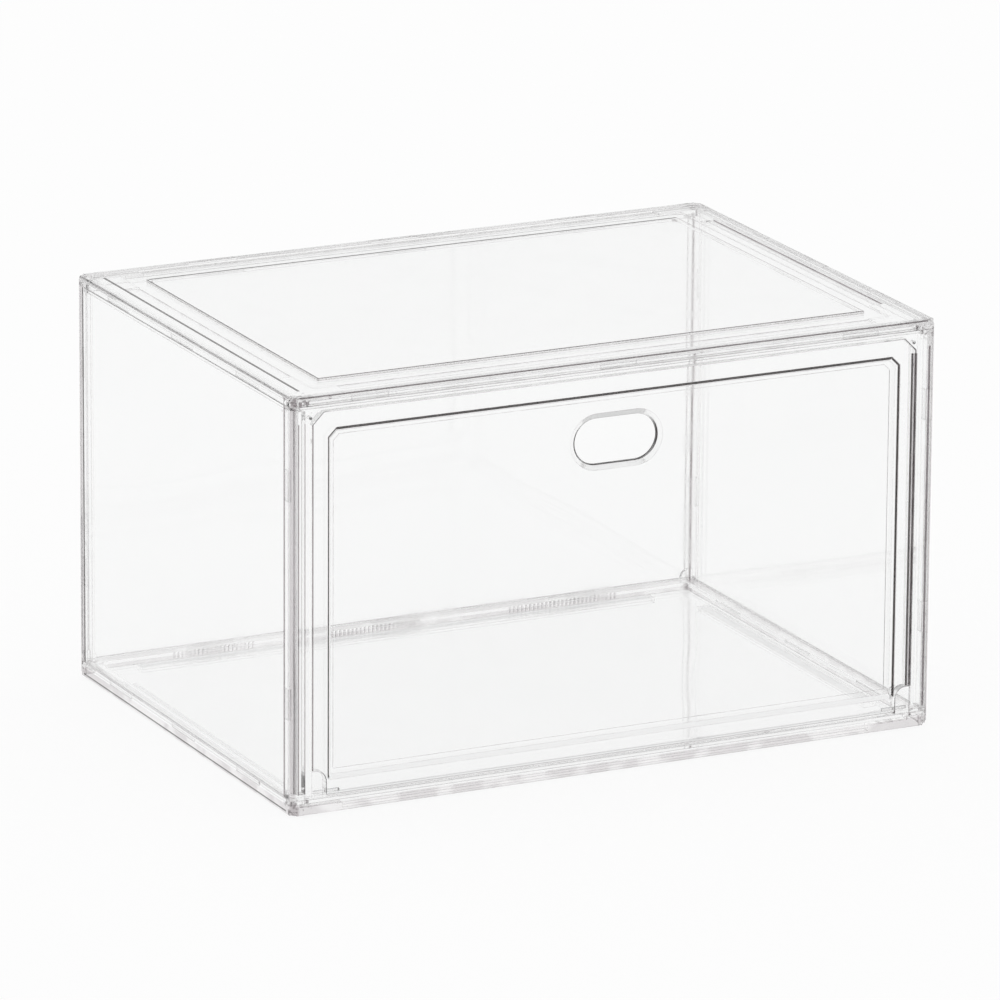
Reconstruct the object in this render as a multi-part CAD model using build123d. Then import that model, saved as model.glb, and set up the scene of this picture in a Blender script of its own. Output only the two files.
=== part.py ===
from build123d import *
import os

# A clear moulded storage case: base, top, two side walls, a back wall and a front frame snap
# together, and a door with a finger hole drops open on two pins in the frame's lower corners.
# The origin is at the middle of the footprint, on the surface that the case stands on.
# The front faces minus Y, and Z is up.

# Driving sizes of the whole case
case_width = 360.0
case_depth = 263.0
case_height = 217.3         # up to the middle field of the top
corner_radius = 3.5

# Walls, and the air between pieces
wall = 3.6                  # side walls
back_wall = 3.0             # back wall
field = 2.4                 # flat fields of base, top and door
joint_gap = 0.1             # air between two panels that snap together
door_gap = 0.3              # air round the door at its sides
overrun = 1.0               # how far a cut reaches past the face that it opens
soft_edge = 0.4             # rounding of the ordinary moulded edges
crown_edge = 1.0            # rounding of the outermost top and bottom edges
dome_height = 2.6           # the outermost corners, domed in two tapers
dome_taper = 0.8            # how far the lower taper draws in
dome_share = 0.6            # of the height, for the lower taper

# Base: a tray with a broad hollow rim, and foot bars that sit in the channel of a case below
foot_height = 1.0
base_rim_height = 8.1
base_rim_width = 9.8
base_skirt = 2.6            # outer wall of the hollow rim
tray_depth = 3.7            # from the rim's top down to the floor
tray_corner = 3.0

# Top: rim, channel, shoulder and a middle field, each with its own level
top_skirt_drop = 4.8        # from the rim down to the lower edge of the outer skirt
channel_side_inset = 10.4
channel_front_inset = 7.4
channel_width = 8.0
channel_depth = 0.8
shoulder_inset = 27.1
shoulder_depth = 0.5        # from the rim down to the shoulder
field_rise = 0.8            # from the rim up to the middle field
corner_pad_x = 31.0         # the channel stops this far from the left and right faces
corner_pad_y = 38.0         # and this far from the front and back faces
foot_clearance = 0.4        # foot bar to channel, on every side
locating_rib = 2.0
locating_rib_drop = 2.8     # how far the rib hangs below the outer skirt

# Posts of the front frame and the returns of the back wall
post_width = 11.4
post_depth = 7.2
post_groove_start = 4.4
post_groove_width = 4.0
post_front_wall = 2.6
lintel_height = 3.4
stop_lip = 1.6              # how far the stop behind the door reaches into the opening
stop_thickness = 1.8
return_depth = 8.4
back_ear_width = 7.0        # rounded ears in the lower corners of the back wall
back_ear_height = 5.5
back_ear_radius = 5.0
back_ear_thickness = 1.6
back_rib_inset = 6.4        # upright rib beside each return, from the side of the case
back_rib_thickness = 1.5
gusset_hole_radius = 0.9    # blind hole in each upper gusset of the front frame, from behind
gusset_hole_inset = 11.6    # from the side of the case
gusset_hole_drop = 11.5     # from the top's rim
gusset_hole_depth = 3.6

# Corner pegs that stand up and down from the posts and from the back wall's corners
peg_radius = 0.9
peg_length = 2.2
post_peg_inset_x = 9.9
post_peg_inset_y = 3.6
back_peg_inset = 2.4

# Door
door_thickness = 4.6
door_setback = 0.5          # door face behind the frame's face
door_bottom_gap = 0.4
door_top_gap = 0.4
door_border = 8.4
door_bevel = 2.3
door_face_step = 1.6        # from the border's face back to the field
door_corner_cut = 6.5       # straight cut across the upper corners
window_cut = 4.6            # straight cut across the window's upper corners, at the border
window_field_cut = 3.2      # the same at the field
window_radius = 1.5         # its lower corners, at the border
window_field_radius = 0.6   # the same at the field
rear_margin = 2.2           # how much further in the hollow behind the field starts

# Finger hole
hole_drop = 42.3            # its centre below the top's rim
hole_length = 45.6
hole_height = 23.5
hole_bevel = 3.0
hole_land = 0.8             # straight part of the hole's wall

# Hinge
pin_radius = 1.0
pin_length = 14.0
pin_fit = 0.02              # pin in the frame
pin_running_fit = 0.05      # door on the pin
pin_chamfer = 0.2
lug_width = 8.0
lug_height = 14.0
lug_radius = 6.0
lug_top_gap = 0.5

# Detents that hold the door shut, one on each side
detent_radius = 1.5
detent_tip_radius = 0.8
detent_rise = 0.2
detent_drop = 23.0          # below the top's rim

# Snap tabs
tab_thickness = 1.7
tab_inset = 0.95            # outer face of a tab from the outer face of its wall
tab_depth = 3.0
top_tab_depth = 2.6
post_tab_length = 16.0
wall_tab_length = 27.0
lintel_tab_length = 20.0
foot_tab_length = 2.6
post_tab_height_shares = (0.27, 0.79)           # of the height of the top's rim
wall_tab_depth_shares = (-0.3, 0.0, 0.3)        # of its depth, from the middle
back_tab_width_shares = (-0.29, 0.0, 0.29)      # of its width, from the middle
lintel_tab_width_shares = (-0.38, 0.0, 0.38)

# Rows of small locking teeth on the back of the tray, from the left face, as shares of the width
tooth_row_shares = ((0.145, 0.275), (0.39, 0.53), (0.68, 0.86))
tooth_pitch = 2.4
tooth_width = 1.1
tooth_rise = 0.5

# Places that follow from the sizes above
left = -case_width / 2
front = -case_depth / 2
back = case_depth / 2
top_rim = case_height - field_rise
rim_top = foot_height + base_rim_height
floor_top = rim_top - tray_depth
floor_under = floor_top - field
skirt_edge = top_rim - top_skirt_drop
wall_low = rim_top + joint_gap
wall_high = skirt_edge - joint_gap
opening_top = skirt_edge - lintel_height
door_face = front + door_setback
door_back = door_face + door_thickness
door_half_width = case_width / 2 - post_width - door_gap
door_low = rim_top + door_bottom_gap
door_high = opening_top - door_top_gap
field_face = door_face + door_face_step
field_back = field_face + field
axis_y = door_face + door_thickness / 2
axis_z = door_low + door_thickness / 2
lug_top = rim_top + lug_height
locating_rib_low = skirt_edge - locating_rib_drop


def block(x0, x1, y0, y1, z0, z1):
    """A box between two corners."""
    centre = Pos((x0 + x1) / 2, (y0 + y1) / 2, (z0 + z1) / 2)
    return centre * Box(abs(x1 - x0), abs(y1 - y0), abs(z1 - z0))


def plan(inset_x, inset_y, radius):
    """The footprint of the case, drawn in by an inset on each side."""
    return RectangleRounded(case_width - 2 * inset_x, case_depth - 2 * inset_y, radius)


def slab(shape, z0, z1):
    """A flat drawing made solid between two heights."""
    return extrude(Pos(0, 0, z0) * shape, z1 - z0)


def mirrored(shape):
    """The same shape on the other side of the middle plane."""
    return mirror(shape, about=Plane.YZ)


def edges_at(shape, height):
    """The edges that lie flat at one height."""
    return shape.edges().filter_by_position(Axis.Z, height, height)


def plate(x0, x1, y0, y1, z0, z1):
    """A box with all of its edges softened."""
    body = block(x0, x1, y0, y1, z0, z1)
    return fillet(body.edges(), soft_edge)


def pocket(tab):
    """The room for a tab, given by its x, y and z limits, with the joint gap on every side."""
    x0, x1, y0, y1, z0, z1 = tab
    gap = joint_gap
    return block(x0 - gap, x1 + gap, y0 - gap, y1 + gap, z0 - gap, z1 + gap)


def side_tabs_up_and_down():
    """Limits of the left wall's tabs that enter the top and the base."""
    x0 = left + tab_inset
    x1 = x0 + tab_thickness
    tabs = []
    for share in wall_tab_depth_shares:
        y0 = share * case_depth - wall_tab_length / 2
        y1 = y0 + wall_tab_length
        tabs.append((x0, x1, y0, y1, wall_low - tab_depth, wall_low + overrun))
        tabs.append((x0, x1, y0, y1, wall_high - overrun, wall_high + top_tab_depth))
    return tabs


def side_tabs_fore_and_aft():
    """Limits of the left wall's tabs that enter the front post and the back return."""
    x0 = left + tab_inset
    x1 = x0 + tab_thickness
    y_front = front + post_depth + joint_gap
    y_back = back - return_depth - joint_gap
    tabs = []
    for share in post_tab_height_shares:
        z0 = share * top_rim - post_tab_length / 2
        z1 = z0 + post_tab_length
        tabs.append((x0, x1, y_front - tab_depth, y_front + overrun, z0, z1))
        tabs.append((x0, x1, y_back - overrun, y_back + tab_depth, z0, z1))
    return tabs


def back_tabs():
    """Limits of the back wall's tabs that enter the top and the base."""
    y1 = back - tab_inset
    y0 = y1 - tab_thickness
    tabs = []
    for share in back_tab_width_shares:
        x0 = share * case_width - wall_tab_length / 2
        x1 = x0 + wall_tab_length
        tabs.append((x0, x1, y0, y1, wall_low - tab_depth, wall_low + overrun))
        tabs.append((x0, x1, y0, y1, wall_high - overrun, wall_high + top_tab_depth))
    return tabs


def frame_tabs():
    """Limits of the front frame's tabs that enter the top and the base."""
    y0 = front + tab_inset
    y1 = y0 + tab_thickness
    tabs = []
    for share in lintel_tab_width_shares:
        x0 = share * case_width - lintel_tab_length / 2
        x1 = x0 + lintel_tab_length
        tabs.append((x0, x1, y0, y1, wall_high - overrun, wall_high + top_tab_depth))
    x0 = left + tab_inset
    x1 = x0 + tab_thickness
    y1 = front + post_depth - tab_inset
    y0 = y1 - foot_tab_length
    tabs.append((x0, x1, y0, y1, wall_low - tab_depth, wall_low + overrun))
    tabs.append((-x1, -x0, y0, y1, wall_low - tab_depth, wall_low + overrun))
    return tabs


def on_the_right(tabs):
    """The limits of the same tabs on the other side of the middle plane."""
    return [(-tab[1], -tab[0]) + tab[2:] for tab in tabs]


def corner_pegs(inset_x, y, room):
    """Pegs up and down from the left and right corners of a wall at y, or the room for them."""
    pegs = []
    for x in (left + inset_x, -left - inset_x):
        for root, way in ((wall_low, -1), (wall_high, 1)):
            tip = root + way * (peg_length + room)
            centre = Pos(x, y, (root - way * overrun + tip) / 2)
            pegs.append(centre * Cylinder(peg_radius + room, abs(tip - root) + overrun))
    return pegs


def post_pegs(room):
    """The four pegs of the front frame, or the room for them."""
    return corner_pegs(post_peg_inset_x, front + post_peg_inset_y, room)


def back_pegs(room):
    """The four pegs of the back wall, or the room for them."""
    return corner_pegs(back_peg_inset, back - back_peg_inset, room)


def add_tabs(body, tabs):
    """The body with its tabs."""
    for tab in tabs:
        body += block(*tab)
    return body


def cut_pockets(body, tabs):
    """The body with a pocket round each tab that enters it."""
    for tab in tabs:
        body -= pocket(tab)
    return body


def channel_bars(clearance, z0, z1):
    """Four straight bars along the channel in the top, each drawn in by a clearance."""
    half_x = case_width / 2 - corner_pad_x - clearance
    half_y = case_depth / 2 - corner_pad_y - clearance
    x_out = case_width / 2 - channel_side_inset - clearance
    x_in = case_width / 2 - channel_side_inset - channel_width + clearance
    y_out = case_depth / 2 - channel_front_inset - clearance
    y_in = case_depth / 2 - channel_front_inset - channel_width + clearance
    bars = []
    for sign in (-1, 1):
        bars.append(block(sign * x_in, sign * x_out, -half_y, half_y, z0, z1))
        bars.append(block(-half_x, half_x, sign * y_in, sign * y_out, z0, z1))
    return bars


def corner_dome(level, way):
    """What the domed corners at one level take off the square ends, rising up or down the way given."""
    low_height = dome_share * dome_height
    neck = corner_radius - dome_taper
    lower = Cone(corner_radius, neck, low_height)
    upper = Cone(neck, neck - dome_height + low_height, dome_height - low_height)
    dome = Pos(0, 0, low_height / 2) * lower + Pos(0, 0, (low_height + dome_height) / 2) * upper
    reach = corner_radius + overrun
    room = block(0, reach, 0, reach, 0, dome_height + overrun) - dome
    if way < 0:
        room = mirror(room, about=Plane.XY)
    room = Pos(case_width / 2 - corner_radius, back - corner_radius, level - way * dome_height) * room
    pair = [room, mirrored(room)]
    return pair + [mirror(piece, about=Plane.XZ) for piece in pair]


def locking_teeth():
    """Rows of half-round teeth on the inner face of the tray's back rim."""
    inner_face = back - base_rim_width
    teeth = Sketch()
    for start_share, end_share in tooth_row_shares:
        start = left + start_share * case_width
        count = round((end_share - start_share) * case_width / tooth_pitch)
        for index in range(count):
            x = start + index * tooth_pitch
            teeth += Pos(x, inner_face) * Ellipse(tooth_width / 2, tooth_rise)
    return slab(teeth, floor_top - field / 2, rim_top - soft_edge)


def make_base_panel():
    """Tray with a broad hollow rim, foot bars below and locking teeth inside the back."""
    body = slab(plan(0, 0, corner_radius), foot_height, rim_top)
    body = fillet(edges_at(body, foot_height), crown_edge)
    body = fillet(edges_at(body, rim_top), soft_edge)
    for room in corner_dome(foot_height, -1):
        body -= room
    tray = slab(plan(base_rim_width, base_rim_width, tray_corner), floor_top, rim_top + overrun)
    body -= tray
    rim_inner = base_rim_width - field
    under = slab(plan(base_skirt, base_skirt, corner_radius), 0, floor_under)
    hollow = slab(plan(base_skirt, base_skirt, corner_radius), 0, rim_top - field)
    hollow -= slab(plan(rim_inner, rim_inner, tray_corner), -overrun, rim_top)
    body -= under
    body -= hollow
    for bar in channel_bars(foot_clearance, 0, floor_under + field / 2):
        body += fillet(edges_at(bar, 0), soft_edge)
    body += locking_teeth()
    body = cut_pockets(body, side_tabs_up_and_down())
    body = cut_pockets(body, on_the_right(side_tabs_up_and_down()))
    body = cut_pockets(body, back_tabs())
    for peg in post_pegs(joint_gap) + back_pegs(joint_gap):
        body -= peg
    return cut_pockets(body, frame_tabs())


def make_top_panel():
    """Top with a stacking channel and a raised middle field, and a rib inside the walls."""
    body = slab(plan(0, 0, corner_radius), skirt_edge, top_rim)
    body = fillet(edges_at(body, top_rim), crown_edge)
    body = fillet(edges_at(body, skirt_edge), soft_edge)
    for room in corner_dome(top_rim, 1):
        body -= room
    rib_out = wall + joint_gap
    rib_in = rib_out + locating_rib
    rib = slab(plan(rib_out, post_depth + joint_gap, tray_corner), locating_rib_low,
               skirt_edge + overrun)
    rib -= slab(plan(rib_in, post_depth + joint_gap + locating_rib, overrun),
                locating_rib_low - overrun, top_rim)
    under_rim = top_rim - channel_depth - field
    body -= slab(plan(rib_in, rib_in, tray_corner), skirt_edge - overrun, under_rim)
    body += rib
    shoulder_x = channel_side_inset + channel_width
    shoulder_y = channel_front_inset + channel_width
    under_shoulder = top_rim - shoulder_depth - field
    body -= slab(plan(shoulder_x, shoulder_y, tray_corner), skirt_edge, under_shoulder)
    shoulder = slab(plan(shoulder_x, shoulder_y, soft_edge), top_rim - shoulder_depth,
                    top_rim + overrun)
    middle = slab(plan(shoulder_inset, shoulder_inset, soft_edge), top_rim - field, case_height)
    body -= shoulder
    body += fillet(edges_at(middle, case_height), soft_edge)
    under_inset = shoulder_inset + field / 2
    body -= slab(plan(under_inset, under_inset, tray_corner), skirt_edge, case_height - field)
    for bar in channel_bars(0, top_rim - channel_depth, top_rim + overrun):
        body -= bar
    body = cut_pockets(body, side_tabs_up_and_down())
    body = cut_pockets(body, on_the_right(side_tabs_up_and_down()))
    body = cut_pockets(body, back_tabs())
    for peg in post_pegs(joint_gap) + back_pegs(joint_gap):
        body -= peg
    return cut_pockets(body, frame_tabs())


def make_left_panel():
    """Left wall, with tabs on all four edges."""
    y0 = front + post_depth + joint_gap
    y1 = back - return_depth - joint_gap
    body = plate(left, left + wall, y0, y1, wall_low, wall_high)
    body = add_tabs(body, side_tabs_up_and_down())
    return add_tabs(body, side_tabs_fore_and_aft())


def back_ear():
    """Ear in the left lower corner of the back wall, with a large round on its free corner."""
    x0 = left + wall - overrun
    x1 = left + wall + back_ear_width
    z1 = wall_low + back_ear_height
    shape = Pos((x0 + x1) / 2, (wall_low + z1) / 2) * Rectangle(x1 - x0, z1 - wall_low)
    corner = shape.vertices().group_by(Axis.X)[-1].sort_by(Axis.Y)[-1]
    upright = Plane.XZ * fillet(corner, back_ear_radius)
    root = back - back_wall + soft_edge
    return Pos(0, root, 0) * extrude(upright, back_ear_thickness + soft_edge)


def back_rib():
    """Upright rib on the left of the back wall, as deep as the return beside it."""
    x0 = left + back_rib_inset
    rib = block(x0, x0 + back_rib_thickness, back - return_depth, back - back_wall + soft_edge,
                wall_low, locating_rib_low - joint_gap)
    front_edges = rib.edges().filter_by(Axis.Z).group_by(Axis.Y)[0]
    return fillet(front_edges, soft_edge)


def make_back_panel():
    """Back wall with a return at each end that takes the side walls' tabs, and ribs inside."""
    outline = plan(0, 0, corner_radius)
    kept = Pos(0, back - return_depth / 2) * Rectangle(case_width, return_depth)
    inner = Rectangle(case_width - 2 * wall, return_depth)
    inner = Pos(0, back - back_wall - return_depth / 2) * inner
    body = slab((outline & kept) - inner, wall_low, wall_high)
    ends = edges_at(body, wall_low) + edges_at(body, wall_high)
    body = fillet(ends, soft_edge)
    for feature in (back_ear(), back_rib()):
        body += feature
        body += mirrored(feature)
    for peg in back_pegs(0):
        body += peg
    body = add_tabs(body, back_tabs())
    body = cut_pockets(body, side_tabs_fore_and_aft())
    return cut_pockets(body, on_the_right(side_tabs_fore_and_aft()))


def pin_bore(radius, x0, x1):
    """A cylinder on the hinge axis between two distances from the middle plane."""
    turn = Rot(0, 90, 0)
    return Pos((x0 + x1) / 2, axis_y, axis_z) * turn * Cylinder(radius, abs(x1 - x0))


def detent(side, face, room):
    """A tapered button that stands on the plane at a distance from the middle, with room added."""
    root = face - overrun
    tip = face + detent_rise
    centre = Pos(side * (root + tip) / 2, axis_y, top_rim - detent_drop)
    cone = Cone(detent_radius + room, detent_tip_radius + room, tip - root)
    return centre * Rot(0, side * 90, 0) * cone


def frame_outline():
    """Front view of the frame: two posts, the lintel and the gussets in its upper corners."""
    half = case_width / 2
    inner = half - post_width
    corner = door_corner_cut
    points = [(-half, wall_low), (-half, wall_high), (half, wall_high), (half, wall_low)]
    points += [(inner, wall_low), (inner, opening_top - corner), (inner - corner, opening_top)]
    points += [(corner - inner, opening_top), (-inner, opening_top - corner), (-inner, wall_low)]
    return make_face(Polyline(*points, close=True))


def hinge_lug():
    """Lug in the left lower corner of the frame, with a large round on its free corner."""
    x0 = left + post_width - overrun
    x1 = left + post_width + lug_width
    centre = Pos((x0 + x1) / 2, (wall_low + lug_top) / 2)
    shape = centre * Rectangle(x1 - x0, lug_top - wall_low)
    corner = shape.vertices().group_by(Axis.X)[-1].sort_by(Axis.Y)[-1]
    shape = fillet(corner, lug_radius)
    upright = Plane.XZ * shape
    return Pos(0, door_face, 0) * extrude(upright, -(front + post_depth - door_face))


def make_front_frame():
    """Two hollow posts and a lintel round the door, with a stop behind it and hinge lugs."""
    body = extrude(Plane.XZ * frame_outline(), -post_depth)
    body = Pos(0, front, 0) * body
    corners = body.edges().filter_by(Axis.Z).filter_by_position(Axis.Y, front, front)
    outer = corners.group_by(Axis.X)
    body = fillet(outer[0] + outer[-1], corner_radius)
    stop_front = front + post_depth - stop_thickness
    inner = case_width / 2 - post_width
    lip = block(-inner, inner, stop_front, front + post_depth, wall_low, opening_top)
    lip -= block(stop_lip - inner, inner - stop_lip, stop_front - overrun,
                 front + post_depth + overrun, 0, opening_top - stop_lip)
    body += lip
    for side in (1, -1):
        groove_x0 = side * (left + post_groove_start)
        groove_x1 = groove_x0 + side * post_groove_width
        body -= block(groove_x0, groove_x1, front + post_front_wall,
                      front + post_depth + overrun, wall_low + field, wall_high - field)
    lug = hinge_lug()
    bore_end = left + post_width + lug_width + door_gap - pin_length / 2
    lug_end = left + post_width + lug_width + overrun
    lug -= pin_bore(pin_radius + pin_fit, bore_end - pin_fit, lug_end)
    body += lug
    body += mirrored(lug)
    hole_x = case_width / 2 - gusset_hole_inset
    hole_z = top_rim - gusset_hole_drop
    hole_y = front + post_depth - gusset_hole_depth
    hole = extrude(Pos(0, hole_y, 0) * (Plane.XZ * Circle(gusset_hole_radius)),
                   -gusset_hole_depth - overrun)
    for side in (1, -1):
        body -= detent(side, inner, door_gap)
        body -= Pos(side * hole_x, 0, hole_z) * hole
    for peg in post_pegs(0):
        body += peg
    body = add_tabs(body, frame_tabs())
    body = cut_pockets(body, side_tabs_fore_and_aft())
    return cut_pockets(body, on_the_right(side_tabs_fore_and_aft()))


def door_outline():
    """Front view of the door: cut upper corners, and a rounded notch over each hinge lug."""
    half = door_half_width
    cut = door_corner_cut
    notch_x = case_width / 2 - post_width - lug_width - door_gap
    notch_z = lug_top + lug_top_gap
    points = [(-half, notch_z), (-half, door_high - cut), (cut - half, door_high)]
    points += [(half - cut, door_high), (half, door_high - cut), (half, notch_z)]
    points += [(notch_x, notch_z), (notch_x, door_low), (-notch_x, door_low), (-notch_x, notch_z)]
    shape = make_face(Polyline(*points, close=True))
    inner = shape.vertices().filter_by_position(Axis.Y, notch_z, notch_z).sort_by(Axis.X)[1:3]
    return fillet(inner, lug_radius + door_gap)


def door_window(inset, cut, radius, y):
    """A window upright at y, drawn in from the door's edges, with cut corners at its top."""
    width = 2 * (door_half_width - inset)
    height = door_high - door_low - 2 * inset
    middle = (door_high + door_low) / 2
    shape = Pos(0, middle) * Rectangle(width, height)
    shape = chamfer(shape.vertices().group_by(Axis.Y)[-1], cut)
    shape = fillet(shape.vertices().group_by(Axis.Y)[0], radius)
    return Pos(0, y, 0) * (Plane.XZ * shape)


def finger_hole():
    """The hole for a finger, with a bevel that opens towards the front."""
    centre = Pos(0, top_rim - hole_drop)
    through = Plane.XZ * (centre * SlotOverall(hole_length, hole_height))
    hole = Pos(0, door_back + overrun, 0) * extrude(through, door_thickness + 2 * overrun)
    wide = centre * SlotOverall(hole_length + 2 * hole_bevel, hole_height + 2 * hole_bevel)
    mouth = Pos(0, field_face, 0) * (Plane.XZ * wide)
    throat = Pos(0, field_back - hole_land, 0) * through
    return hole + loft([mouth, throat])


def make_door_panel():
    """Door with a raised border, a bevelled step to its field, a finger hole and detents."""
    body = Pos(0, door_back, 0) * extrude(Plane.XZ * door_outline(), door_thickness)
    low = body.edges().filter_by(Axis.X).filter_by_position(Axis.Z, door_low, door_low)
    body = fillet(low, door_thickness / 2 - joint_gap)
    field_inset = door_border + door_bevel
    recess = loft([door_window(door_border, window_cut, window_radius, door_face),
                   door_window(field_inset, window_field_cut, window_field_radius, field_face)])
    body -= recess
    behind = door_window(field_inset + rear_margin, window_field_cut, window_field_radius,
                         door_back + overrun)
    body -= extrude(behind, door_back + overrun - field_back)
    body -= finger_hole()
    notch_x = case_width / 2 - post_width - lug_width - door_gap
    bore_deep = notch_x - pin_length / 2 - door_gap
    for side in (1, -1):
        body -= pin_bore(pin_radius + pin_running_fit, side * bore_deep, side * (notch_x + overrun))
        body += detent(side, door_half_width, 0)
    return body


def make_hinge_pin():
    """Left hinge pin, half in the frame's lug and half in the door."""
    middle = left + post_width + lug_width + door_gap
    pin = pin_bore(pin_radius, middle - pin_length / 2, middle + pin_length / 2)
    return chamfer(pin.edges(), pin_chamfer)


os.makedirs("parts", exist_ok=True)
left_panel = make_left_panel()
hinge_pin = make_hinge_pin()
nodes = {
    "base_panel": make_base_panel(),
    "top_panel": make_top_panel(),
    "left_panel": left_panel,
    "right_panel": mirrored(left_panel),
    "back_panel": make_back_panel(),
    "front_frame": make_front_frame(),
    "door_panel": make_door_panel(),
    "hinge_pin_left": hinge_pin,
    "hinge_pin_right": mirrored(hinge_pin),
}
for name, shape in nodes.items():
    export_step(shape, f"parts/{name}.step")
    print(name, round(shape.volume / 1000, 2), "cm3", shape.is_valid)
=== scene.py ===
import bpy
import math
from mathutils import Matrix, Vector


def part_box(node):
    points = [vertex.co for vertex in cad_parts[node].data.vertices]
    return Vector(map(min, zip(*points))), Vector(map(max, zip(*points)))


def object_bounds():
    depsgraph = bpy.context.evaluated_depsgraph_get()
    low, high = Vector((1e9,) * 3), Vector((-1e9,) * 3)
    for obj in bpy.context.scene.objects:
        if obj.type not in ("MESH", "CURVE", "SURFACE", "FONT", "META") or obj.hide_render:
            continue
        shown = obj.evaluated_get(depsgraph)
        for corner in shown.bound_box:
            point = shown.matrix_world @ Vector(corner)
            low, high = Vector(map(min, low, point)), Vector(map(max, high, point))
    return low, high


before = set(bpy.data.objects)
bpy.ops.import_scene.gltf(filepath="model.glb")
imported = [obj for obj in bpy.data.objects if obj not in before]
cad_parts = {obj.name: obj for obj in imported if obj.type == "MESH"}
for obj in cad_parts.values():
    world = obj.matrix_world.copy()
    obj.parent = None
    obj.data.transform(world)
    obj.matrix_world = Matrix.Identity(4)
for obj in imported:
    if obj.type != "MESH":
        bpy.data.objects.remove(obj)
cad_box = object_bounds()

# The camera, in degrees, millimetres, the photograph's pixels and, for its reach, metres
FRAME_PIXELS = 1000
FOCAL_PIXELS = 8978
SENSOR_MM = 36.0
CAMERA_REACH = 100.0
AZIMUTH, ELEVATION, ROLL = -26.197, 16.331, 0.400
# where the middle of the case's base lies in front of the camera, in metres: right, down, away
BASE_FROM_CAMERA = (0.0002, 0.1029, 4.6425)
BASE_HEIGHT = 0.001

# Light: levels of the sky by elevation, in degrees
SKY = ((-90, 0.9), (0, 0.6), (8, 0.9), (20, 0.93), (29, 0.55), (55, 0.55), (66, 1.0), (90, 1.5))
FLOOR_SIZE = 60.0
PAPER_SHARE = 0.10
FLOOR_GLOW = 0.908

LIGHT_BOUNCES = 128
PLASTIC_IOR = 1.49
# what a metre of the plastic takes from the light is the density times the rest of the tint
PLASTIC_TINT = (0.59, 0.54, 0.545, 1.0)
PLASTIC_DENSITY = 0.4
FACE_TINTS = ((0.975, 0.977, 0.976, 1.0), (0.982, 0.984, 0.983, 1.0))
BASE_TINTS = ((0.992, 0.994, 0.993, 1.0), (1.0, 1.0, 1.0, 1.0))
FACE_ROUGHNESS = (0.0, 0.05)
EDGE_ROUGHNESS = 0.10
CREASE_RADIUS, CREASE_SAMPLES = 0.0004, 2
# where a part of the normal starts and stops to count: for rounds, creases, faces square to X, faces that
# look up, rounds of the top that look forward or left, the door's sideways faces, and faces not along Y
ROUND_LIMITS, CREASE_LIMITS, SIDE_LIMITS = (0.90, 0.995), (0.90, 0.99), (0.97, 0.995)
UPWARD_LIMITS, TURNED_LIMITS, SIDEWAYS_LIMITS = (0.0, 0.5), (-0.5, -0.2), (0.15, 0.45)
UPRIGHT_LIMITS = (0.02, 0.10)
FACING = 0.9
# where noise starts and stops to count
SHADE_PATCH_LIMITS, SPECK_LIMITS, POLISH_LIMITS = (0.42, 0.60), (0.60, 0.68), (0.3, 0.7)
# noise scales, per metre
CLOUD_SCALE, POLISH_SCALE, FLOW_SCALE, SHADE_PATCH_SCALE, SPECK_SCALE = 9.0, 60.0, 16.0, 70.0, 380.0
FLOW_STRENGTH, FLOW_HEIGHT = 0.3, 0.001

# tints from black to clear; the darker ones paint shade on the clear plastic
BLACK, DARK = (0.003, 0.002, 0.002, 1.0), (0.12, 0.10, 0.106, 1.0)
GREY, PALE = (0.45, 0.42, 0.43, 1.0), (0.86, 0.84, 0.845, 1.0)
CLEAR, MID = (0.97, 0.97, 0.97, 1.0), (0.62, 0.59, 0.60, 1.0)
# painted shade: the colours of the dark lines along creases and in streaks, and the colour of the specks
CREASE, FAINT_CREASE = (0.135, 0.112, 0.118, 1.0), (0.45, 0.42, 0.43, 1.0)
BOLD_CREASE, DEEP_SHADE = (0.008, 0.006, 0.006, 1.0), (0.012, 0.010, 0.010, 1.0)
SPECK = (0.22, 0.20, 0.205, 1.0)
# painted shade: the tints of the door's window and hole by depth behind its face, where they face down,
# sideways and up
DOOR_PROFILE = ((0.0, BLACK), (0.0011, BLACK), (0.0012, PALE), (0.0018, PALE), (0.0019, CLEAR),
                (0.0031, CLEAR), (0.0032, DARK), (0.0040, DARK), (0.0041, PALE), (0.0046, PALE))
DOOR_PROFILE_SIDE = ((0.0, PALE), (0.0001, PALE), (0.0002, BLACK), (0.0008, BLACK), (0.0009, CLEAR),
                     (0.0027, CLEAR), (0.0028, BLACK), (0.0040, BLACK), (0.0041, PALE), (0.0046, PALE))
DOOR_PROFILE_UP = ((0.0, CLEAR), (0.0028, CLEAR), (0.0029, BLACK), (0.0040, BLACK), (0.0041, PALE),
                   (0.0046, PALE))
# painted dark reflection on the upright sides of the door and of the posts, by the same depth; the sides
# further out stay clear
SIDE_PROFILE = ((-0.0005, BLACK), (0.0042, BLACK), (0.0043, CLEAR), (0.0067, CLEAR))
SIDE_INSET = 0.0105
FRONT_NODES = ("door_panel", "front_frame")
# how far inside the door's outline its window starts
WINDOW_INSET = 0.0075
# the cut corners of the door and the frame lie above this height; their sloped faces are painted black as
# shade
CUT_HEIGHT = 0.19
# the top's front edge is painted dark, as shade, up to this far from its corners
CORNER_INSET = 0.005
# specks lie within this distance of the case's corners, along each axis
SPECK_REACH = 0.014
# the tints of each node's rounds that face down and up, and of its creases: painted shade, darker on the
# rounds that face down
PLASTICS = {
    "base_panel": (GREY, CLEAR, CREASE),
    "top_panel": (PALE, CLEAR, CREASE),
    "left_panel": (PALE, CLEAR, FAINT_CREASE),
    "right_panel": (PALE, CLEAR, FAINT_CREASE),
    "back_panel": (PALE, CLEAR, CREASE),
    "front_frame": (MID, CLEAR, CREASE),
    "door_panel": (CLEAR, CLEAR, CREASE),
    "hinge_pin_left": (CLEAR, CLEAR, GREY),
    "hinge_pin_right": (CLEAR, CLEAR, GREY),
}
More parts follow.
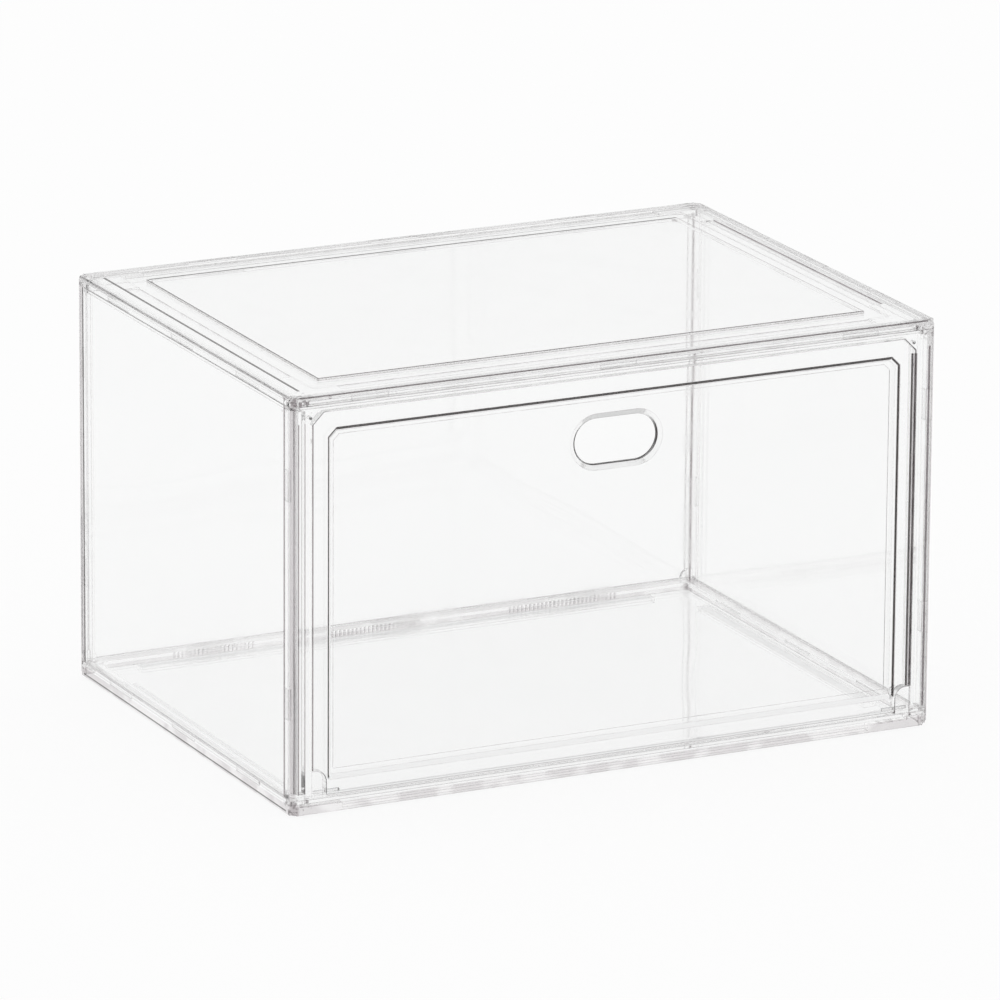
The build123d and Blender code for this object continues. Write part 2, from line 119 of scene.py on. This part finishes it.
# the creases that stand out most on a node, painted darkest as shade: the axis across them, and their
# distances in from its two ends
FIELD_INSET, SKIRT_INSET = 0.0271, 0.0026
BOLD_LINES = {
    "top_panel": (("Y", FIELD_INSET, FIELD_INSET),),
    "base_panel": (("X", SKIRT_INSET, SKIRT_INSET), ("Y", SKIRT_INSET, SKIRT_INSET)),
}
BOLD_REACH = 0.0007
# Painted shade: dark streaks painted on flat faces, where the edges of such a case look dark from its front
# left: a tint, the way the face looks, and the limits along the axes, each measured from an end of the node's
# box, -1 or 1, or with 0 for a place in the frame
ON_FACE = (-0.0002, 0.0002)
LEFT_EDGE, RIGHT_EDGE = ("Z", 0, 0.012, 0.203), ("Z", 0, 0.0236, 0.200)
STREAKS = {
    "top_panel": (
        (DEEP_SHADE, "Z", 1, (("X", -1, 0.0089, 0.0104), ("Z", 1, -0.0012, -0.0004), ("Y", -1, 0.012, 0.250))),
        (DARK, "X", -1, (("X", 1, -0.0106, -0.0102), ("Z", 1, -0.0018, 0.0))),
        (PALE, "X", 1, (("X", 1, -0.0273, -0.0269), ("Z", 1, -0.0014, 0.0))),
        (GREY, "Z", 1, (("X", 1, -0.0283, -0.0271), ("Z", 1, *ON_FACE), ("Y", -1, 0.027, 0.236))),
        (DEEP_SHADE, "Z", 1, (("Y", 1, -0.0292, -0.0264), ("Z", 1, -0.0003, 0.0002), ("X", -1, 0.028, 0.332))),
    ),
    "door_panel": (
        (DEEP_SHADE, "Y", -1, (("X", 1, -0.0025, -0.0013), ("Y", -1, *ON_FACE), RIGHT_EDGE)),
        (GREY, "Y", -1, (("X", 1, -0.0013, -0.0006), ("Y", -1, *ON_FACE), RIGHT_EDGE)),
        (DEEP_SHADE, "Y", -1, (("X", 1, -0.0006, 0.0), ("Y", -1, *ON_FACE), RIGHT_EDGE)),
        (DARK, "Y", -1, (("X", -1, 0.0, 0.0009), ("Y", -1, *ON_FACE), LEFT_EDGE)),
    ),
    "front_frame": (
        (DEEP_SHADE, "Y", -1, (("X", 1, -0.0114, -0.0109), ("Y", -1, *ON_FACE), RIGHT_EDGE)),
        (DARK, "Y", -1, (("X", 1, -0.0044, -0.0032), ("Y", -1, *ON_FACE), LEFT_EDGE)),
        (DARK, "Y", -1, (("X", -1, 0.0038, 0.0044), ("Y", -1, *ON_FACE), LEFT_EDGE)),
        (GREY, "Y", -1, (("X", -1, 0.0072, 0.0079), ("Y", -1, *ON_FACE), LEFT_EDGE)),
    ),
    "left_panel": (
        (DARK, "X", -1, (("X", -1, *ON_FACE), ("Y", 0, -0.1244, -0.1226))),
    ),
    "base_panel": (
        (DEEP_SHADE, "X", -1, (("X", -1, *ON_FACE), ("Z", 0, 0.0025, 0.0032), ("Y", -1, 0.006, 0.257))),
    ),
    "back_panel": (
        (DEEP_SHADE, "X", -1, (("X", -1, *ON_FACE), ("Y", 1, -0.0084, -0.0068))),
        (MID, "X", -1, (("X", -1, *ON_FACE), ("Y", 1, -0.0068, -0.0035))),
        (DEEP_SHADE, "X", 1, (("X", 1, *ON_FACE), ("Y", 1, -0.0084, -0.0064))),
        (DARK, "Y", -1, (("X", 1, -0.0079, -0.0064), ("Y", 1, -0.0086, -0.0082))),
    ),
}
# painted shade: the base's outer sides are greyer up to this height, and this far in
BAND_HEIGHT, BAND_DEPTH = 0.0062, 0.0012


def new_material(name):
    """A material with an empty node tree, its nodes and its links."""
    material = bpy.data.materials.new(name)
    material.use_nodes = True
    tree = material.node_tree
    tree.nodes.clear()
    return material, tree.nodes, tree.links


def maths(nodes, links, kind, *values):
    """The result of one step of arithmetic on numbers or sockets."""
    node = nodes.new("ShaderNodeMath")
    node.operation = kind
    for socket, value in zip(node.inputs, values):
        if isinstance(value, (int, float)):
            socket.default_value = value
        else:
            links.new(value, socket)
    return node.outputs[0]


def distance(nodes, links, value, level):
    """How far a number is from a level."""
    return maths(nodes, links, "ABSOLUTE", maths(nodes, links, "SUBTRACT", value, level))


def spread(nodes, links, value, start, end, low, high):
    """The value carried smoothly from one range to another, and held at its ends."""
    node = nodes.new("ShaderNodeMapRange")
    node.interpolation_type = "SMOOTHSTEP"
    links.new(value, node.inputs["Value"])
    for name, number in zip(("From Min", "From Max", "To Min", "To Max"), (start, end, low, high)):
        node.inputs[name].default_value = number
    return node.outputs["Result"]


def blend_colours(nodes, links, share, first, second):
    """The first colour where the share is nought, and the second where it is one."""
    node = nodes.new("ShaderNodeMix")
    node.data_type = "RGBA"
    links.new(share, node.inputs["Factor"])
    for name, colour in (("A", first), ("B", second)):
        socket = [s for s in node.inputs if s.name == name and s.type == "RGBA"][0]
        if isinstance(colour, tuple):
            socket.default_value = colour
        else:
            links.new(colour, socket)
    return [s for s in node.outputs if s.type == "RGBA"][0]


def colour_ramp(nodes, links, share, stops):
    """A ramp of colours, given as places from nought to one and colours."""
    node = nodes.new("ShaderNodeValToRGB")
    links.new(share, node.inputs["Fac"])
    elements = node.color_ramp.elements
    while len(elements) < len(stops):
        elements.new(0.5)
    for element, (place, colour) in zip(elements, stops):
        element.position = place
        element.color = colour
    return node.outputs["Color"]


def noise(nodes, links, coords, scale, detail):
    """Soft noise from nought to one."""
    node = nodes.new("ShaderNodeTexNoise")
    links.new(coords, node.inputs["Vector"])
    node.inputs["Scale"].default_value = scale
    node.inputs["Detail"].default_value = detail
    return node.outputs["Fac"]


def round_share(nodes, links, normal):
    """Nought on faces square to an axis, and one on rounds and bevels."""
    parts = [maths(nodes, links, "ABSOLUTE", normal.outputs[n]) for n in "XYZ"]
    flat = maths(nodes, links, "MAXIMUM", parts[0], maths(nodes, links, "MAXIMUM", parts[1], parts[2]))
    return spread(nodes, links, flat, *ROUND_LIMITS, 1.0, 0.0)


def crease_share(nodes, links):
    """One along the creases of the solid, nought away from them."""
    bevel = nodes.new("ShaderNodeBevel")
    bevel.samples = CREASE_SAMPLES
    bevel.inputs["Radius"].default_value = CREASE_RADIUS
    geometry = nodes.new("ShaderNodeNewGeometry")
    dot = nodes.new("ShaderNodeVectorMath")
    dot.operation = "DOT_PRODUCT"
    links.new(bevel.outputs["Normal"], dot.inputs[0])
    links.new(geometry.outputs["Normal"], dot.inputs[1])
    return spread(nodes, links, dot.outputs["Value"], *CREASE_LIMITS, 1.0, 0.0)


def side_share(nodes, links, place, normal):
    """One on faces square to X, apart from the outer sides of the case."""
    sideways = maths(nodes, links, "ABSOLUTE", normal.outputs["X"])
    flat = spread(nodes, links, sideways, *SIDE_LIMITS, 0.0, 1.0)
    across = maths(nodes, links, "ABSOLUTE", place.outputs["X"])
    inner = maths(nodes, links, "LESS_THAN", across, cad_box[1][0] - SIDE_INSET)
    return maths(nodes, links, "MULTIPLY", flat, inner)


def cut_share(nodes, links, place, normal, rounds):
    """One on the upper faces that slope across the corners of the front."""
    along = maths(nodes, links, "ABSOLUTE", normal.outputs["Y"])
    upright = spread(nodes, links, along, *UPRIGHT_LIMITS, 1.0, 0.0)
    high = maths(nodes, links, "GREATER_THAN", place.outputs["Z"], CUT_HEIGHT)
    return maths(nodes, links, "MULTIPLY", rounds, maths(nodes, links, "MULTIPLY", upright, high))


def speck_share(nodes, links, spot, place):
    """Small dark specks near the eight corners of the case."""
    low, high = cad_box
    share = spread(nodes, links, noise(nodes, links, spot, SPECK_SCALE, 1.0), *SPECK_LIMITS, 0.0, 1.0)
    for axis, start, end in zip("XYZ", low, high):
        middle, half = (start + end) / 2, (end - start) / 2
        off = distance(nodes, links, place.outputs[axis], middle)
        near = spread(nodes, links, off, half - SPECK_REACH, half - SPECK_REACH / 2, 0.0, 1.0)
        share = maths(nodes, links, "MULTIPLY", share, near)
    return share


def bold_share(nodes, links, place, name):
    """One near the planes of a node's boldest creases, where the darkest shade is painted."""
    low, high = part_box(name)
    share = 0.0
    for axis, first, last in BOLD_LINES.get(name, ()):
        index = "XYZ".index(axis)
        for plane in (low[index] + first, high[index] - last):
            off = distance(nodes, links, place.outputs[axis], plane)
            near = maths(nodes, links, "LESS_THAN", off, BOLD_REACH)
            share = maths(nodes, links, "MAXIMUM", share, near)
    return share


def streak_share(nodes, links, name, place, normal, axis, way, limits):
    """One between the limits, on the outer side of faces that look one way along an axis."""
    facing = maths(nodes, links, "MULTIPLY", normal.outputs[axis], way)
    share = maths(nodes, links, "GREATER_THAN", facing, FACING)
    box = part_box(name)
    for along, end, low, high in limits:
        start = 0.0 if end == 0 else box[(end + 1) // 2]["XYZ".index(along)]
        for kind, limit in (("GREATER_THAN", start + low), ("LESS_THAN", start + high)):
            within = maths(nodes, links, kind, place.outputs[along], limit)
            share = maths(nodes, links, "MULTIPLY", share, within)
    return share


def band_share(nodes, links, place):
    """One on the lower part of the case's four outer sides."""
    share = 0.0
    for axis in "XY":
        across = maths(nodes, links, "ABSOLUTE", place.outputs[axis])
        edge = cad_box[1]["XYZ".index(axis)] - BAND_DEPTH
        outer = maths(nodes, links, "GREATER_THAN", across, edge)
        share = maths(nodes, links, "MAXIMUM", share, outer)
    low = maths(nodes, links, "LESS_THAN", place.outputs["Z"], BAND_HEIGHT)
    return maths(nodes, links, "MULTIPLY", share, low)


def window_share(nodes, links, place, normal):
    """One on the sides of the door's window and finger hole, nought elsewhere."""
    low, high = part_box("door_panel")
    middle, half = (low + high) / 2, (high - low) / 2
    across = maths(nodes, links, "ABSOLUTE", place.outputs["X"])
    height = distance(nodes, links, place.outputs["Z"], middle[2])
    inside = maths(nodes, links, "LESS_THAN", across, half[0] - WINDOW_INSET)
    level = maths(nodes, links, "LESS_THAN", height, half[2] - WINDOW_INSET)
    inside = maths(nodes, links, "MULTIPLY", inside, level)
    flat = maths(nodes, links, "ABSOLUTE", normal.outputs["Y"])
    return maths(nodes, links, "MULTIPLY", inside, spread(nodes, links, flat, *ROUND_LIMITS, 1.0, 0.0))


def depth_tint(nodes, links, place, profile):
    """Tints by the depth behind the door's face, given as stops of depth and colour."""
    first, last = profile[0][0], profile[-1][0]
    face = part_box("door_panel")[0][1]
    depth = maths(nodes, links, "SUBTRACT", place.outputs["Y"], face + first)
    share = maths(nodes, links, "DIVIDE", depth, last - first)
    stops = [((stop - first) / (last - first), colour) for stop, colour in profile]
    return colour_ramp(nodes, links, share, stops)


def top_rounds(nodes, links, place, normal, colour):
    """The colour of the top's rounds, with those at its left paler and those at its front dark: painted shade
    by the way they face.
    """
    forward = spread(nodes, links, normal.outputs["Y"], *TURNED_LIMITS, 1.0, 0.0)
    across = maths(nodes, links, "ABSOLUTE", place.outputs["X"])
    between = maths(nodes, links, "LESS_THAN", across, cad_box[1][0] - CORNER_INSET)
    forward = maths(nodes, links, "MULTIPLY", forward, between)
    leftward = spread(nodes, links, normal.outputs["X"], *TURNED_LIMITS, 1.0, 0.0)
    colour = blend_colours(nodes, links, leftward, colour, PALE)
    return blend_colours(nodes, links, forward, colour, DARK)


def window_tint(nodes, links, place, normal, upward, tint):
    """The tint with the painted shade of the sides of the door's window and finger hole."""
    window = window_share(nodes, links, place, normal)
    profiles = (DOOR_PROFILE, DOOR_PROFILE_SIDE, DOOR_PROFILE_UP)
    low, side, high = (depth_tint(nodes, links, place, profile) for profile in profiles)
    low_or_high = blend_colours(nodes, links, upward, low, high)
    across = maths(nodes, links, "ABSOLUTE", normal.outputs["X"])
    sideways = spread(nodes, links, across, *SIDEWAYS_LIMITS, 0.0, 1.0)
    return blend_colours(nodes, links, window, tint, blend_colours(nodes, links, sideways, low_or_high, side))


def surface_tint(name, nodes, links, spot, place, normal, rounds, shade_patches, dark_round, light_round):
    """The tint of a node's faces and rounds, with painted shade on its rounds, in its streaks and on the
    door's edges, and its specks.
    """
    # painted shade: rounds that face down take the darker tint, those that face up the lighter
    upward = spread(nodes, links, normal.outputs["Z"], *UPWARD_LIMITS, 0.0, 1.0)
    round_colour = blend_colours(nodes, links, upward, dark_round, light_round)
    if name == "top_panel":
        round_colour = top_rounds(nodes, links, place, normal, round_colour)
    clouds = noise(nodes, links, spot, CLOUD_SCALE, 0.0)
    face_tints = BASE_TINTS if name == "base_panel" else FACE_TINTS
    face_colour = blend_colours(nodes, links, clouds, *face_tints)
    tint = blend_colours(nodes, links, rounds, face_colour, round_colour)
    # painted shade along the bottom of the base's outer sides
    if name == "base_panel":
        grey = blend_colours(nodes, links, shade_patches, MID, PALE)
        tint = blend_colours(nodes, links, band_share(nodes, links, place), tint, grey)
    # painted shade: the dark streaks on flat faces
    for streak, *where in STREAKS.get(name, ()):
        share = streak_share(nodes, links, name, place, normal, *where)
        tint = blend_colours(nodes, links, share, tint, streak)
    if name in FRONT_NODES:
        # painted dark reflection on the inner upright sides of the door and the frame
        sides = side_share(nodes, links, place, normal)
        tint = blend_colours(nodes, links, sides, tint, depth_tint(nodes, links, place, SIDE_PROFILE))
        # painted shade: the sloped faces of the cut corners are painted black
        tint = blend_colours(nodes, links, cut_share(nodes, links, place, normal, rounds), tint, BLACK)
    if name == "door_panel":
        tint = window_tint(nodes, links, place, normal, upward, tint)
    return blend_colours(nodes, links, speck_share(nodes, links, spot, place), tint, SPECK)


def clear_plastic(name, dark_round, light_round, crease):
    """Clear moulded plastic: polished faces with faint flow waves, duller edges, and shade painted grey along
    its edges.
    """
    material, nodes, links = new_material(name + "_plastic")
    out = nodes.new("ShaderNodeOutputMaterial")
    shader = nodes.new("ShaderNodeBsdfPrincipled")
    coords = nodes.new("ShaderNodeTexCoord")
    normal = nodes.new("ShaderNodeSeparateXYZ")
    links.new(coords.outputs["Normal"], normal.inputs[0])
    spot = coords.outputs["Object"]
    place = nodes.new("ShaderNodeSeparateXYZ")
    links.new(spot, place.inputs[0])

    rounds = round_share(nodes, links, normal)
    creases = crease_share(nodes, links)
    # noise that makes the painted shade of the creases and of the base's bottom band patchy
    shade_patches = spread(nodes, links, noise(nodes, links, spot, SHADE_PATCH_SCALE, 1.0), *SHADE_PATCH_LIMITS, 0.0, 1.0)
    tint = surface_tint(name, nodes, links, spot, place, normal, rounds, shade_patches, dark_round, light_round)
    # painted shade along the creases
    crease_colour = blend_colours(nodes, links, shade_patches, crease, FAINT_CREASE)
    if name in BOLD_LINES:
        bold = blend_colours(nodes, links, shade_patches, BOLD_CREASE, crease)
        share = bold_share(nodes, links, place, name)
        crease_colour = blend_colours(nodes, links, share, crease_colour, bold)
    links.new(blend_colours(nodes, links, creases, tint, crease_colour), shader.inputs["Base Color"])

    shader.inputs["Transmission Weight"].default_value = 1.0
    shader.inputs["IOR"].default_value = PLASTIC_IOR
    marks = noise(nodes, links, spot, POLISH_SCALE, 1.0)
    polish = spread(nodes, links, marks, *POLISH_LIMITS, *FACE_ROUGHNESS)
    edge = maths(nodes, links, "MAXIMUM", rounds, creases)
    dull = maths(nodes, links, "MULTIPLY", edge, EDGE_ROUGHNESS)
    links.new(maths(nodes, links, "ADD", polish, dull), shader.inputs["Roughness"])
    bump = nodes.new("ShaderNodeBump")
    bump.inputs["Strength"].default_value = FLOW_STRENGTH
    bump.inputs["Distance"].default_value = FLOW_HEIGHT
    links.new(noise(nodes, links, spot, FLOW_SCALE, 0.0), bump.inputs["Height"])
    links.new(bump.outputs["Normal"], shader.inputs["Normal"])
    inside = nodes.new("ShaderNodeVolumeAbsorption")
    inside.inputs["Color"].default_value = PLASTIC_TINT
    inside.inputs["Density"].default_value = PLASTIC_DENSITY
    links.new(shader.outputs["BSDF"], out.inputs["Surface"])
    links.new(inside.outputs["Volume"], out.inputs["Volume"])
    return material


def floor_material():
    """Pale studio paper on a lit table: mostly its own even light, and a little of the light on it."""
    material, nodes, links = new_material("studio_paper")
    out = nodes.new("ShaderNodeOutputMaterial")
    paper = nodes.new("ShaderNodeBsdfDiffuse")
    glow = nodes.new("ShaderNodeEmission")
    both = nodes.new("ShaderNodeAddShader")
    paper.inputs["Color"].default_value = (PAPER_SHARE, PAPER_SHARE, PAPER_SHARE, 1.0)
    glow.inputs["Strength"].default_value = FLOOR_GLOW
    links.new(paper.outputs["BSDF"], both.inputs[0])
    links.new(glow.outputs["Emission"], both.inputs[1])
    links.new(both.outputs["Shader"], out.inputs["Surface"])
    return material


def add_floor():
    """A plain floor, far larger than the view."""
    mesh = bpy.data.meshes.new("studio_floor")
    half = FLOOR_SIZE / 2
    corners = [(-half, -half, 0), (half, -half, 0), (half, half, 0), (-half, half, 0)]
    mesh.from_pydata(corners, [], [(0, 1, 2, 3)])
    mesh.materials.append(floor_material())
    floor = bpy.data.objects.new("studio_floor", mesh)
    bpy.context.scene.collection.objects.link(floor)


def add_world():
    """Soft light from all round, with a darker band that the edges of the plastic pick up."""
    world = bpy.data.worlds.new("soft_studio")
    world.use_nodes = True
    bpy.context.scene.world = world
    nodes = world.node_tree.nodes
    links = world.node_tree.links
    nodes.clear()
    out = nodes.new("ShaderNodeOutputWorld")
    background = nodes.new("ShaderNodeBackground")
    coords = nodes.new("ShaderNodeTexCoord")
    split = nodes.new("ShaderNodeSeparateXYZ")
    links.new(coords.outputs["Generated"], split.inputs[0])
    elevation = maths(nodes, links, "ARCSINE", split.outputs["Z"])
    share = maths(nodes, links, "MULTIPLY_ADD", elevation, 1 / math.pi, 0.5)
    stops = [((angle + 90) / 180, (level, level, level, 1.0)) for angle, level in SKY]
    ramp = colour_ramp(nodes, links, share, stops)
    links.new(ramp, background.inputs["Color"])
    links.new(background.outputs["Background"], out.inputs["Surface"])


def add_camera():
    """A long lens, set where the photograph was taken from."""
    azimuth, elevation, roll = (math.radians(v) for v in (AZIMUTH, ELEVATION, ROLL))
    flat = math.cos(elevation)
    back = Vector((math.sin(azimuth) * flat, -math.cos(azimuth) * flat, math.sin(elevation)))
    level = Vector((math.cos(azimuth), math.sin(azimuth), 0))
    upright = back.cross(level)
    right = math.cos(roll) * level + math.sin(roll) * upright
    up = math.cos(roll) * upright - math.sin(roll) * level
    to_right, down, away = BASE_FROM_CAMERA
    place = back * away + up * down - right * to_right + Vector((0, 0, BASE_HEIGHT))
    data = bpy.data.cameras.new("camera")
    data.sensor_width = SENSOR_MM
    data.lens = FOCAL_PIXELS / FRAME_PIXELS * SENSOR_MM
    data.clip_end = CAMERA_REACH
    camera = bpy.data.objects.new("camera", data)
    turn = Matrix((right, up, back)).transposed().to_4x4()
    camera.matrix_world = Matrix.Translation(place) @ turn
    bpy.context.scene.collection.objects.link(camera)
    bpy.context.scene.camera = camera


def dress_nodes():
    """Gives each node of the case its own plastic."""
    for name, tints in PLASTICS.items():
        material = clear_plastic(name, *tints)
        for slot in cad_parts[name].material_slots:
            slot.material = material


add_camera()
add_world()
add_floor()
dress_nodes()
scene = bpy.context.scene
scene.cycles.max_bounces = LIGHT_BOUNCES
scene.cycles.transmission_bounces = LIGHT_BOUNCES
scene.cycles.glossy_bounces = LIGHT_BOUNCES
scene.view_settings.view_transform = "Standard"
